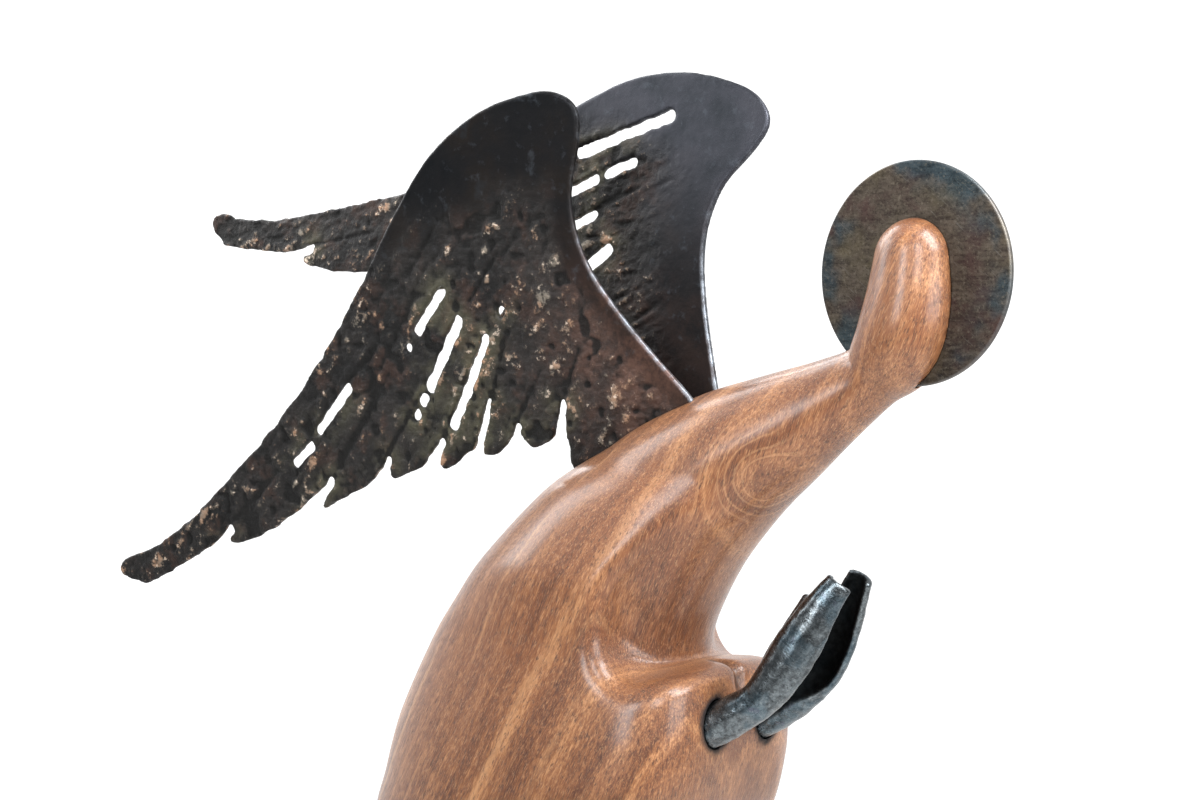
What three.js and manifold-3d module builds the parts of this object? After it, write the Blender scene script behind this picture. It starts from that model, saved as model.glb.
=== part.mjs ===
// A carved wooden angel with steel wings, halo and hands, standing on a low base.
// Millimetres, +Z up. +X is the way the angel faces and +Y is its left side.
// The origin is the middle of the base's underside.

import * as THREE from 'three';
import { mergeVertices } from 'three/addons/utils/BufferGeometryUtils.js';
import Module from 'manifold-3d';

const wasm = await Module();
wasm.setup();

// Driving dimensions of the wood

// The low base: an oval disc with rounded edges, carved in one with the robe.
const BASE = { length: 140, width: 120, height: 15, edge: 4, sides: 48 };

// Level sections of the robe: height, middle of the section, reach to the back and front, half width,
// and how square the front is.
const ROBE = [
  { z: 0, x: 0, back: 62, front: 62, side: 52, squareness: 2.6 },
  { z: 30, x: -1, back: 56.5, front: 57, side: 47.5, squareness: 2.6 },
  { z: 80, x: -3, back: 53.5, front: 51, side: 44.5, squareness: 3 },
  { z: 150, x: -2, back: 59, front: 53.5, side: 48, squareness: 3.8 },
  { z: 215, x: 6, back: 65.6, front: 62, side: 52, squareness: 4.5 },
  { z: 240, x: 13, back: 67.6, front: 64.5, side: 50, squareness: 4.5 },
  { z: 260, x: 18, back: 67.2, front: 63.5, side: 46.5, squareness: 4.5 },
  { z: 285, x: 20, back: 56, front: 60, side: 41.5, squareness: 4.5 },
  { z: 300, x: 24, back: 48.8, front: 55, side: 40.5, squareness: 4 },
  { z: 315, x: 30, back: 42.2, front: 50.5, side: 38.5, squareness: 3.4 },
  { z: 338, x: 45, back: 33.3, front: 40, side: 29, squareness: 2.6 },
  { z: 352, x: 55, back: 21.5, front: 20, side: 12, squareness: 2.6 },
];
const ROBE_TOP = 350;
const BACK_ROUNDNESS = 2.2;

// Chest, neck and head: balls of radius r strung on a line in the middle plane.
const SPINE = [
  { x: 26, z: 262, r: 36 },
  { x: 27.5, z: 283, r: 35.5 },
  { x: 31.5, z: 299, r: 34 },
  { x: 40, z: 314, r: 32.3 },
  { x: 55, z: 331, r: 28.8 },
  { x: 75, z: 346, r: 23.8 },
  { x: 95.2, z: 357, r: 18.5 },
  { x: 114.5, z: 367.2, r: 13.3 },
  { x: 128.5, z: 375.2, r: 10.7 },
  { x: 136, z: 382.5, r: 13.4 },
  { x: 139.8, z: 389, r: 14.7 },
  { x: 142.2, z: 399, r: 14.2 },
  { x: 143, z: 410.3, r: 12.6 },
];

// The space above the sleeves, sawn through from side to side: circles in the middle plane.
const NOTCH = [
  { x: 60.5, z: 294.5, r: 12 },
  { x: 68, z: 301.5, r: 18.5 },
  { x: 150, z: 337.5, r: 54 },
];
// How far the sleeves' top falls away at the sides, and between which heights that fades out.
const SHELF_FALL = { drop: 5, atSide: 40, low: 272, high: 312 };
// The saw ran a little askew: further forward on the right side by this share of the way sideways.
const NOTCH_SKEW = 0.08;
const NOTCH_EDGE = { middle: 4.5, perSide: 0.06 };
const CREASE = { middle: 1, perSideSquared: 0.008 };

// Driving dimensions of the steel

const GAP = 0.3;
const HALO = { x: 142.5, z: 406.1, radius: 34.2, thickness: 2, turn: -6, sides: 64 };
const PLATE = 2.4;
const WING_LEAN = 8;
const WING_SPREAD = 3;
// A wing's root runs down the slope of the back and is let into the wood by its depth.
const ROOT_SLOPE = { u: 48, v: -22 };
const ROOT_DEPTH = 10;

// The wing's sweep from its root up the front edge, round the crown and along the back to the tip.
// u runs backwards from the root's front end, v up the plate.
const WING_SWEEP = [
  [0, 0], [22, 24], [36.5, 45], [40.7, 65], [36.5, 82], [35.5, 93], [41, 98.5], [52, 100],
  [74, 94.7], [95, 82], [112, 63], [138.8, 27], [171, -8.3], [206.7, -38.3], [229, -54.5],
  [247, -62.8], [257, -65.3], [261, -69.5], [258, -73], [249, -74.7],
];
// Feather ends along the lower edge, from the tip back to the root: each notch, then the feather's end.
const FEATHER_ENDS = [
  [[230.7, -65.9], [216, -58.9]],
  [[202.8, -50.3], [202.7, -56.7], [188.4, -52.6], [172, -44.8]],
  [[152, -30.8], [158.1, -42.7], [148.8, -38], [135.8, -32.8]],
  [[125.2, -22.4], [124.4, -30.6], [112.3, -25.6]],
  [[100.8, -15.4], [101.6, -26.6], [91, -19.7], [88.6, -18.6]],
  [[80.2, -0.8], [78.6, -0.8], [84, -21.2], [76.3, -18.9]],
  [[68.7, -9.8], [63.4, -17.9], [55.6, -14.9]],
  [[50.1, -1], [48.5, -1]],
];
// Both wings are cut to one pattern. The left one is a little smaller and turned further up.
const WINGS = {
  right_wing: {
    side: -1,
    root: { x: 67.8, y: -9, z: 367.2 },
    turn: 0,
    size: { u: 1, v: 1 },
    rootLength: 52.8,
    slots: [
      { from: [95.8, 35.5], to: [107.5, 22.1], width: 3.6 },
      { from: [89.7, 25.5], to: [104, 2.7], width: 4 },
      { from: [78.6, 19.4], to: [95.2, -10.4], width: 4 },
      { from: [140.4, 1.9], to: [155.6, -13.8], width: 3.5 },
      { from: [160, -19.4], to: [167.8, -25.8], width: 3.2 },
      { from: [111.6, 16.6], to: [111.9, 16.1], width: 3.2 },
      { from: [106.9, -1.6], to: [107.4, -2.4], width: 3.8 },
      { from: [110.6, -6.7], to: [110.9, -7.2], width: 3.4 },
      { from: [71.3, 28.8], to: [71.7, 28.2], width: 3.2 },
    ],
  },
  left_wing: {
    side: 1,
    root: { x: 66.8, y: 8.3, z: 365.7 },
    turn: 29,
    size: { u: 0.985, v: 0.91 },
    rootLength: 36,
    slots: [
      { from: [29.4, 96.7], to: [67.9, 86.1], width: 4.4 },
      { from: [44.4, 81.4], to: [55, 78.1], width: 3.8 },
      { from: [60.1, 76.2], to: [74, 71.7], width: 4.2 },
      { from: [60, 63.6], to: [70, 59.4], width: 3.8 },
      { from: [52, 51.6], to: [60, 45.9], width: 4.6 },
    ],
  },
};

// Hands: stations from the wrist's hidden end to the fingertips, with width and thickness of each.
const HANDS = {
  right_hand: {
    side: -1,
    stations: [
      { x: 72, y: -15.8, z: 261.5, wide: 13, thick: 13 },
      { x: 79.5, y: -15, z: 264.4, wide: 13.4, thick: 13.4 },
      { x: 87, y: -14, z: 268.4, wide: 13, thick: 13 },
      { x: 95.4, y: -13, z: 273.9, wide: 12.2, thick: 12.4 },
      { x: 102.1, y: -12, z: 282, wide: 15, thick: 12.8 },
      { x: 108.1, y: -10.8, z: 291.6, wide: 15.8, thick: 12.4 },
      { x: 114.9, y: -9, z: 303, wide: 12.6, thick: 10.2 },
      { x: 120.7, y: -6.8, z: 311.8, wide: 9.2, thick: 7.2 },
    ],
  },
  left_hand: {
    side: 1,
    stations: [
      { x: 72, y: 15.8, z: 260.5, wide: 13, thick: 13 },
      { x: 79.5, y: 15, z: 263.4, wide: 13.4, thick: 13.4 },
      { x: 87.2, y: 14, z: 267.4, wide: 13, thick: 13 },
      { x: 95.7, y: 13, z: 272.9, wide: 12.2, thick: 12.4 },
      { x: 102.4, y: 12, z: 281, wide: 15, thick: 12.8 },
      { x: 108, y: 11.2, z: 290.9, wide: 15.8, thick: 12.4 },
      { x: 114.3, y: 9.4, z: 302.8, wide: 12.6, thick: 10.2 },
      { x: 119.6, y: 7.2, z: 312.2, wide: 9.2, thick: 7.2 },
    ],
  },
};
// The palm begins and is full at these stations.
const PALM = { begins: 2.7, full: 4.2 };
const HAND_DIVISIONS = 2;
const HAND_SIDES = 14;
const PALM_FLATNESS = 0.45;

// Grid spacing for the wood's facets: coarse along the plain robe, finer above the sleeves.
const FACET = { across: 7.2, robe: 18, upper: 6.6, change: 225 };

// Materials

const wood = new THREE.MeshStandardMaterial({ color: 0xa4714c, roughness: 0.45, metalness: 0 });
const burnedSteel = new THREE.MeshStandardMaterial({ color: 0x2b2a2b, roughness: 0.5, metalness: 0.9 });
const tintedSteel = new THREE.MeshStandardMaterial({ color: 0x4d4a49, roughness: 0.35, metalness: 1 });
const forgedSteel = new THREE.MeshStandardMaterial({ color: 0x3a3f44, roughness: 0.35, metalness: 1 });

// Curves and blends

// A smooth curve through rows of named numbers, divided evenly between the rows.
function curveThrough(rows, divisions) {
  const names = Object.keys(rows[0]);
  const result = [];
  for (let i = 0; i < rows.length - 1; i += 1) {
    const before = rows[Math.max(i - 1, 0)];
    const after = rows[Math.min(i + 2, rows.length - 1)];
    for (let step = 0; step < divisions; step += 1) {
      const t = step / divisions;
      const row = {};
      for (const name of names) {
        const slopeIn = (rows[i + 1][name] - before[name]) / 2;
        const slopeOut = (after[name] - rows[i][name]) / 2;
        const rise = rows[i + 1][name] - rows[i][name];
        const bend = 3 * rise - 2 * slopeIn - slopeOut;
        const twist = slopeIn + slopeOut - 2 * rise;
        row[name] = rows[i][name] + t * (slopeIn + t * (bend + t * twist));
      }
      result.push(row);
    }
  }
  result.push(rows[rows.length - 1]);
  return result;
}

function softMin(a, b, width) {
  const share = THREE.MathUtils.clamp(0.5 + (0.5 * (b - a)) / width, 0, 1);
  return b * (1 - share) + a * share - width * share * (1 - share);
}

function softMax(a, b, width) {
  return -softMin(-a, -b, width);
}

// The wood as a distance: negative inside, zero on the surface

const robeRows = curveThrough(ROBE, 8);
const spineRows = curveThrough(SPINE, 6);

function robeRowAt(z) {
  if (z <= robeRows[0].z) return robeRows[0];
  for (let i = 1; i < robeRows.length; i += 1) {
    const low = robeRows[i - 1];
    const high = robeRows[i];
    if (z > high.z) continue;
    const t = (z - low.z) / (high.z - low.z);
    const row = {};
    for (const name of Object.keys(low)) row[name] = THREE.MathUtils.lerp(low[name], high[name], t);
    return row;
  }
  return robeRows[robeRows.length - 1];
}

function robeDistance(p) {
  const row = robeRowAt(p.z);
  const behind = p.x < row.x;
  const reach = behind ? row.back : row.front;
  const power = behind ? BACK_ROUNDNESS : row.squareness;
  const round = Math.abs((p.x - row.x) / reach) ** power + Math.abs(p.y / row.side) ** power;
  const wall = (round ** (1 / power) - 1) * Math.min(reach, row.side);
  return Math.max(wall, p.z - ROBE_TOP);
}

// Distance to the hull of two circles in the middle plane.
function taperDistance(p, a, b) {
  const length = Math.hypot(b.x - a.x, b.z - a.z);
  const along = ((p.x - a.x) * (b.x - a.x) + (p.z - a.z) * (b.z - a.z)) / length;
  const off = Math.abs((p.x - a.x) * (b.z - a.z) - (p.z - a.z) * (b.x - a.x)) / length;
  const sine = (a.r - b.r) / length;
  const cosine = Math.sqrt(1 - sine * sine);
  const end = cosine * along - sine * off;
  if (end < 0) return Math.hypot(along, off) - a.r;
  if (end > cosine * length) return Math.hypot(along - length, off) - b.r;
  return off * cosine + along * sine - a.r;
}

function notchDistance(p) {
  const fall = SHELF_FALL.drop * (p.y / SHELF_FALL.atSide) ** 2;
  const fade = THREE.MathUtils.smoothstep(p.z, SHELF_FALL.low, SHELF_FALL.high);
  const level = { x: p.x + NOTCH_SKEW * p.y, z: p.z + fall * (1 - fade) };
  return Math.min(taperDistance(level, NOTCH[0], NOTCH[1]), taperDistance(level, NOTCH[1], NOTCH[2]));
}

// Distance to the skin round the balls on the spine.
function spineDistance(p) {
  const reach = spineRows.map((ball) => Math.hypot(p.x - ball.x, p.y, p.z - ball.z) - ball.r);
  let nearest = 1;
  for (let i = 2; i < reach.length - 1; i += 1) {
    if (reach[i] < reach[nearest]) nearest = i;
  }
  const [before, here, after] = reach.slice(nearest - 1, nearest + 2);
  const bend = before - 2 * here + after;
  const shift = Math.abs(bend) > 1e-9 ? THREE.MathUtils.clamp((before - after) / (2 * bend), -1, 1) : 0;
  return here + 0.5 * shift * (after - before) + 0.5 * shift * shift * bend;
}

function woodDistance(p) {
  const sideways = Math.abs(p.y);
  const edge = NOTCH_EDGE.middle + NOTCH_EDGE.perSide * sideways;
  const crease = CREASE.middle + CREASE.perSideSquared * sideways ** 2;
  const sleeves = softMax(robeDistance(p), -notchDistance(p), edge);
  return softMin(sleeves, spineDistance(p), crease);
}

// Facets of a distance field

function steps(from, to, size) {
  const count = Math.ceil((to - from) / size);
  return Array.from({ length: count + 1 }, (_, i) => from + ((to - from) * i) / count);
}

function slopeAt(distance, p) {
  const h = 0.05;
  const slope = new THREE.Vector3();
  for (const axis of ['x', 'y', 'z']) {
    const high = p.clone();
    const low = p.clone();
    high[axis] += h;
    low[axis] -= h;
    slope[axis] = (distance(high) - distance(low)) / (2 * h);
  }
  return slope;
}

function settleOnSurface(distance, p) {
  for (let round = 0; round < 4; round += 1) {
    const slope = slopeAt(distance, p);
    p.addScaledVector(slope, -distance(p) / Math.max(slope.lengthSq(), 0.05));
  }
}

// One vertex in every grid cell that the surface crosses, one quad across every grid edge that it cuts.
function facetsOf(distance, xs, ys, zs) {
  const [nx, ny, nz] = [xs.length, ys.length, zs.length];
  const at = (i, j, k) => (k * ny + j) * nx + i;
  const values = new Float64Array(nx * ny * nz);
  const p = new THREE.Vector3();
  for (let k = 0; k < nz; k += 1) {
    for (let j = 0; j < ny; j += 1) {
      for (let i = 0; i < nx; i += 1) values[at(i, j, k)] = distance(p.set(xs[i], ys[j], zs[k]));
    }
  }
  const corners = [];
  for (let n = 0; n < 8; n += 1) corners.push([n & 1, (n >> 1) & 1, (n >> 2) & 1]);
  const vertexOfCell = new Int32Array(nx * ny * nz).fill(-1);
  const positions = [];
  for (let k = 0; k < nz - 1; k += 1) {
    for (let j = 0; j < ny - 1; j += 1) {
      for (let i = 0; i < nx - 1; i += 1) {
        const middle = new THREE.Vector3();
        let crossings = 0;
        for (let a = 0; a < 8; a += 1) {
          for (let b = a + 1; b < 8; b += 1) {
            const differ = corners[a].filter((bit, axis) => bit !== corners[b][axis]).length;
            if (differ !== 1) continue;
            const va = values[at(i + corners[a][0], j + corners[a][1], k + corners[a][2])];
            const vb = values[at(i + corners[b][0], j + corners[b][1], k + corners[b][2])];
            if (va < 0 === vb < 0) continue;
            const t = va / (va - vb);
            middle.x += THREE.MathUtils.lerp(xs[i + corners[a][0]], xs[i + corners[b][0]], t);
            middle.y += THREE.MathUtils.lerp(ys[j + corners[a][1]], ys[j + corners[b][1]], t);
            middle.z += THREE.MathUtils.lerp(zs[k + corners[a][2]], zs[k + corners[b][2]], t);
            crossings += 1;
          }
        }
        if (crossings === 0) continue;
        middle.divideScalar(crossings);
        settleOnSurface(distance, middle);
        vertexOfCell[at(i, j, k)] = positions.length / 3;
        positions.push(middle.x, middle.y, middle.z);
      }
    }
  }
  const triangles = [];
  const quad = (a, b, c, d, outward) => {
    if (outward) triangles.push(a, b, c, a, c, d);
    else triangles.push(a, c, b, a, d, c);
  };
  for (let k = 1; k < nz - 1; k += 1) {
    for (let j = 1; j < ny - 1; j += 1) {
      for (let i = 1; i < nx - 1; i += 1) {
        const inside = values[at(i, j, k)] < 0;
        const cell = (di, dj, dk) => vertexOfCell[at(i - di, j - dj, k - dk)];
        if (inside !== values[at(i + 1, j, k)] < 0) {
          quad(cell(0, 1, 1), cell(0, 0, 1), cell(0, 0, 0), cell(0, 1, 0), inside);
        }
        if (inside !== values[at(i, j + 1, k)] < 0) {
          quad(cell(1, 0, 1), cell(1, 0, 0), cell(0, 0, 0), cell(0, 0, 1), inside);
        }
        if (inside !== values[at(i, j, k + 1)] < 0) {
          quad(cell(1, 1, 0), cell(0, 1, 0), cell(0, 0, 0), cell(1, 0, 0), inside);
        }
      }
    }
  }
  const geometry = new THREE.BufferGeometry();
  geometry.setAttribute('position', new THREE.Float32BufferAttribute(positions, 3));
  geometry.setIndex(triangles);
  return geometry;
}

// Solids that can be joined and cut

function solidOf(geometry, placement = new THREE.Matrix4()) {
  const bare = geometry.clone().applyMatrix4(placement);
  bare.deleteAttribute('normal');
  bare.deleteAttribute('uv');
  const merged = mergeVertices(bare, 1e-4);
  return new wasm.Manifold(
    new wasm.Mesh({
      numProp: 3,
      vertProperties: new Float32Array(merged.attributes.position.array),
      triVerts: new Uint32Array(merged.index.array),
    }),
  );
}

function geometryOf(solid) {
  const mesh = solid.getMesh();
  const geometry = new THREE.BufferGeometry();
  geometry.setAttribute('position', new THREE.BufferAttribute(new Float32Array(mesh.vertProperties), 3));
  geometry.setIndex(new THREE.BufferAttribute(new Uint32Array(mesh.triVerts), 1));
  geometry.computeVertexNormals();
  return geometry;
}

// Wings

function wingPlacement(wing) {
  const lean = THREE.MathUtils.degToRad(WING_LEAN);
  const spread = THREE.MathUtils.degToRad(WING_SPREAD);
  const backwards = new THREE.Vector3(-Math.cos(spread), wing.side * Math.sin(spread), 0);
  const upwards = new THREE.Vector3(0, wing.side * Math.sin(lean), Math.cos(lean));
  upwards.addScaledVector(backwards, -upwards.dot(backwards)).normalize();
  const through = new THREE.Vector3().crossVectors(backwards, upwards);
  const placement = new THREE.Matrix4().makeBasis(backwards, upwards, through);
  return placement.setPosition(wing.root.x, wing.root.y, wing.root.z);
}

// The strip of plate that is let into the wood, along the slope of the back.
function rootStrip(wing, spare) {
  const along = new THREE.Vector2(ROOT_SLOPE.u, ROOT_SLOPE.v).normalize();
  const inwards = new THREE.Vector2(along.y, -along.x);
  const corner = (run, depth) => along.clone().multiplyScalar(run).addScaledVector(inwards, depth);
  const deep = ROOT_DEPTH + spare;
  return { front: corner(-spare, deep), back: corner(wing.rootLength + spare, deep), along, inwards };
}

function wingOutline(wing) {
  const turn = THREE.MathUtils.degToRad(wing.turn);
  const fit = ([u, v]) => {
    const point = new THREE.Vector2(u * wing.size.u, v * wing.size.v);
    return point.rotateAround(new THREE.Vector2(), turn);
  };
  const sweep = new THREE.SplineCurve(WING_SWEEP.map(fit)).getPoints(WING_SWEEP.length * 3);
  const ends = FEATHER_ENDS.flat().map(fit);
  const strip = rootStrip(wing, 0);
  const heel = strip.along.clone().multiplyScalar(wing.rootLength);
  return new THREE.Shape([...sweep, ...ends, heel, strip.back, strip.front]);
}

// A burned slot with round ends.
function slotPath({ from, to, width }) {
  const heading = Math.atan2(to[1] - from[1], to[0] - from[0]);
  const path = new THREE.Path();
  path.absarc(to[0], to[1], width / 2, heading - Math.PI / 2, heading + Math.PI / 2, false);
  path.absarc(from[0], from[1], width / 2, heading + Math.PI / 2, heading + 1.5 * Math.PI, false);
  path.closePath();
  return path;
}

function wingGeometry(wing) {
  const outline = wingOutline(wing);
  outline.holes = wing.slots.map(slotPath);
  const plate = new THREE.ExtrudeGeometry(outline, { depth: PLATE, bevelEnabled: false, curveSegments: 3 });
  return plate.translate(0, 0, -PLATE / 2);
}

// The sawn slot in the wood that a wing's root strip stands in.
function wingSlot(wing) {
  const strip = rootStrip(wing, GAP);
  const outside = strip.inwards.clone().multiplyScalar(-2 * ROOT_DEPTH);
  const surfaceFront = strip.along.clone().multiplyScalar(-GAP);
  const surfaceBack = strip.along.clone().multiplyScalar(wing.rootLength + GAP);
  const corners = [strip.front, strip.back, surfaceBack.add(outside), surfaceFront.add(outside)];
  const thickness = PLATE + 2 * GAP;
  const cutter = new THREE.ExtrudeGeometry(new THREE.Shape(corners), { depth: thickness, bevelEnabled: false });
  return solidOf(cutter.translate(0, 0, -thickness / 2), wingPlacement(wing));
}

// Halo

function haloPlacement() {
  const turn = THREE.MathUtils.degToRad(HALO.turn);
  return new THREE.Matrix4().makeRotationZ(turn).setPosition(HALO.x, 0, HALO.z);
}

function haloDisc(spare) {
  const radius = HALO.radius + spare;
  return new THREE.CylinderGeometry(radius, radius, HALO.thickness + 2 * spare, HALO.sides);
}

// Hands

// A closed skin over rings of points, with a flat cap at each end.
function loft(rings) {
  const count = rings[0].length;
  const positions = rings.flat().flatMap((point) => point.toArray());
  const triangles = [];
  for (let r = 0; r < rings.length - 1; r += 1) {
    for (let i = 0; i < count; i += 1) {
      const next = (i + 1) % count;
      const [a, b] = [r * count + i, r * count + next];
      triangles.push(a, b, b + count, a, b + count, a + count);
    }
  }
  const last = (rings.length - 1) * count;
  for (let i = 1; i < count - 1; i += 1) {
    triangles.push(0, i + 1, i);
    triangles.push(last, last + i, last + i + 1);
  }
  const geometry = new THREE.BufferGeometry();
  geometry.setAttribute('position', new THREE.Float32BufferAttribute(positions, 3));
  geometry.setIndex(triangles);
  return geometry;
}

// Rings across a hand, round at the wrist and flatter towards the palm, spare millimetres proud of it.
function handRings(hand, spare) {
  const rows = curveThrough(hand.stations, HAND_DIVISIONS);
  return rows.map((row, i) => {
    const before = rows[Math.max(i - 1, 0)];
    const after = rows[Math.min(i + 1, rows.length - 1)];
    const forward = new THREE.Vector3(after.x - before.x, after.y - before.y, after.z - before.z).normalize();
    const across = new THREE.Vector3(0, 1, 0).addScaledVector(forward, -forward.y).normalize();
    const upright = new THREE.Vector3().crossVectors(forward, across);
    const inPalm = THREE.MathUtils.smoothstep(i / HAND_DIVISIONS, PALM.begins, PALM.full);
    const ring = [];
    for (let n = 0; n < HAND_SIDES; n += 1) {
      const angle = (2 * Math.PI * n) / HAND_SIDES;
      const towardsPalm = -hand.side * Math.sin(angle) > 0;
      const flat = towardsPalm ? THREE.MathUtils.lerp(1, PALM_FLATNESS, inPalm) : 1;
      const point = new THREE.Vector3(row.x, row.y, row.z);
      point.addScaledVector(across, (row.thick / 2 + spare) * Math.sin(angle) * flat);
      ring.push(point.addScaledVector(upright, -(row.wide / 2 + spare) * Math.cos(angle)));
    }
    return ring;
  });
}

// The hole in a sleeve: the hand's own form with a little room, drawn out past its hidden end.
function wristHole(hand) {
  const rings = handRings(hand, GAP);
  const [end, next] = [rings[0], rings[1]];
  const deeper = end.map((point, n) => point.clone().addScaledVector(next[n].clone().sub(point).normalize(), -GAP));
  return solidOf(loft([deeper, ...rings]));
}

// The carved figure, with its base, saw cuts and holes

function baseSolid() {
  const half = BASE.length / 2;
  const section = new THREE.Path();
  section.moveTo(0, 0);
  section.lineTo(half - BASE.edge / 2, 0);
  section.lineTo(half, BASE.edge / 2);
  section.lineTo(half, BASE.height - BASE.edge);
  section.quadraticCurveTo(half, BASE.height, half - BASE.edge, BASE.height);
  section.lineTo(0, BASE.height);
  const disc = new THREE.LatheGeometry(section.getPoints(3), BASE.sides);
  const oval = new THREE.Matrix4().makeScale(1, BASE.width / BASE.length, 1);
  return solidOf(disc, oval.multiply(new THREE.Matrix4().makeRotationX(Math.PI / 2)));
}

function figureSolid() {
  const spineEnd = SPINE[SPINE.length - 1];
  const margin = 2 * FACET.across;
  const foot = BASE.height / 2;
  const xs = steps(-BASE.length / 2 - margin, spineEnd.x + spineEnd.r + margin, FACET.across);
  const ys = steps(-BASE.width / 2 - margin, BASE.width / 2 + margin, FACET.across);
  const zs = [
    foot - 2 * FACET.robe,
    ...steps(foot - FACET.robe / 2, FACET.change, FACET.robe),
    ...steps(FACET.change, spineEnd.z + spineEnd.r + 2 * FACET.upper, FACET.upper).slice(1),
  ];
  const standing = (p) => Math.max(woodDistance(p), foot - p.z);
  return solidOf(facetsOf(standing, xs, ys, zs)).add(baseSolid());
}

function carvedFigure() {
  let figure = figureSolid();
  figure = figure.subtract(solidOf(haloDisc(GAP), haloPlacement()));
  for (const wing of Object.values(WINGS)) figure = figure.subtract(wingSlot(wing));
  for (const hand of Object.values(HANDS)) figure = figure.subtract(wristHole(hand));
  return geometryOf(figure);
}

// The whole object

const angel = new THREE.Group();

function add(name, geometry, material, placement = new THREE.Matrix4()) {
  const mesh = new THREE.Mesh(geometry, material);
  mesh.name = name;
  placement.decompose(mesh.position, mesh.quaternion, mesh.scale);
  angel.add(mesh);
}

add('figure', carvedFigure(), wood);
add('halo', haloDisc(0), tintedSteel, haloPlacement());
for (const [name, wing] of Object.entries(WINGS)) {
  add(name, wingGeometry(wing), burnedSteel, wingPlacement(wing));
}
for (const [name, hand] of Object.entries(HANDS)) {
  add(name, loft(handRings(hand, 0)), forgedSteel);
}

export default angel;
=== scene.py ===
# A carved wooden angel with steel wings, halo and hands: its looks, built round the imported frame.
import math

import bpy
import numpy as np
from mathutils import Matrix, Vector


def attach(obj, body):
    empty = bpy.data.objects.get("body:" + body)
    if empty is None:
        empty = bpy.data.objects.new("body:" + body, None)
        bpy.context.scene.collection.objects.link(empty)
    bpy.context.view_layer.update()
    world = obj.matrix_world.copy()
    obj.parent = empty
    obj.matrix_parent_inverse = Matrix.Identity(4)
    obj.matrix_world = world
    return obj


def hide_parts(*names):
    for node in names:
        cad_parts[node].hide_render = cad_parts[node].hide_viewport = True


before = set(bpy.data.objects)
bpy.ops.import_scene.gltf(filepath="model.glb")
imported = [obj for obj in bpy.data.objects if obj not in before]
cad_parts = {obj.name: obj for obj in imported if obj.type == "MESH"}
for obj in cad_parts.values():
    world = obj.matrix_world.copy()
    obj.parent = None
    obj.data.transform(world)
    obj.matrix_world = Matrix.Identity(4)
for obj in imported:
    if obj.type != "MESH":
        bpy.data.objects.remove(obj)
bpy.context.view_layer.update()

# Sizes are in millimetres. +X is the way the angel faces, +Y its left side, +Z up.
MM = 0.001
LATTICE_SIZE = 40
rng = np.random.default_rng(20)
LATTICE = rng.random((LATTICE_SIZE,) * 3) * 2 - 1

# Sizes of the wood

BASE = {"length": 140, "width": 120, "height": 15, "edge": 4, "fillet": 2.5}
# Level sections of the robe: height, middle, reach to the back, reach to the front, half width,
# and how square the front is.
ROBE = [
    (-20, 0, 62, 62, 52, 2.6),
    (0, 0, 62, 62, 52, 2.6),
    (30, -1, 56.5, 57, 47.5, 2.6),
    (80, -3, 53.5, 51, 44.5, 3),
    (150, -2, 59, 53.5, 48, 3.8),
    (215, 6, 65.6, 62, 52, 4.5),
    (240, 13, 67.6, 64.5, 50, 4.5),
    (260, 18, 67.2, 63.5, 46.5, 4.5),
    (285, 20, 56, 60, 41.5, 4.5),
    (300, 24, 48.8, 55, 40.5, 4),
    (315, 30, 42.2, 50.5, 38.5, 3.4),
    (338, 45, 33.3, 40, 29, 2.6),
    (352, 55, 21.5, 20, 12, 2.6),
]
ROBE_TOP = 350
BACK_ROUNDNESS = 2.2
# Chest, neck and head: balls strung on a line in the middle plane, as x, z and radius.
SPINE = [
    (26, 262, 36),
    (27.5, 283, 35.5),
    (31.5, 299, 34),
    (40, 314, 32.3),
    (55, 331, 28.8),
    (75, 346, 23.8),
    (95.2, 357, 18.5),
    (114.5, 367.2, 13.3),
    (128.5, 375.2, 10.7),
    (136, 382.5, 13.4),
    (139.8, 389, 14.7),
    (142.2, 399, 14.2),
    (143, 410.3, 12.6),
]
SPINE_START = 205
HEAD_ROOM = 16
# The space sawn through above the sleeves: circles in the middle plane, as x, z and radius.
NOTCH = [(60.5, 294.5, 12), (68, 301.5, 18.5), (150, 337.5, 54)]
# The saw ran a little askew: further forward on the right side by this share of the way sideways.
NOTCH_SKEW = 0.08
# How far the sleeves' top falls away at the sides, and between which heights that fades out.
SHELF_FALL = {"drop": 5, "at_side": 40, "low": 272, "high": 312}
# How round the sawn edge is in the middle, and how much rounder it grows for each millimetre sideways.
NOTCH_EDGE = (4.5, 0.06)
# The same for the crease under the neck, which grows with the square of the way sideways.
CREASE = (1, 0.008)
# Under each side of the neck the hollow's edge is left a little fuller.
FULLER_EDGE = {"low": (62, 30, 308), "high": (79, 24, 329), "more": 1.8, "width": 8}
# The shallow parting between the two sleeves, in front of the chest.
PARTING = {"depth": 1.6, "half_width": 2.4, "low": 266, "high": 294, "front": 66}
# Waves that carving by hand leaves: height, size from one hill to the next, and shift between the sets.
HAND_CARVED = [(0.12, 22, 0), (0.05, 9, 0)]
# Spacing of the grid that the wood is skinned over, finer at the base and from the sleeves up.
WOOD_STEP = {"fine": 1.3, "plain": 2.6, "base_top": 20, "change": 218}

# Sizes of the steel

# Room round each piece of steel that is let into the wood.
GAP = 0.3
HALO = {"x": 142.5, "z": 406.1, "radius": 34.2, "thickness": 2, "turn": -6, "edge": 0.5, "dents": 0.16}
KERF = {"deeper": 0.5, "edge": 0.2}
PLATE = 2.4
# Each wing leans out and spreads backwards by these angles.
WING_LEAN = 8
WING_SPREAD = 3
# The wing's root runs down the back along this slope, rises square to it, and is sunk this deep.
ROOT_SLOPE = (48, -22)
ROOT_RISE = (0.417, 0.909)
ROOT_DEPTH = 10
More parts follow.
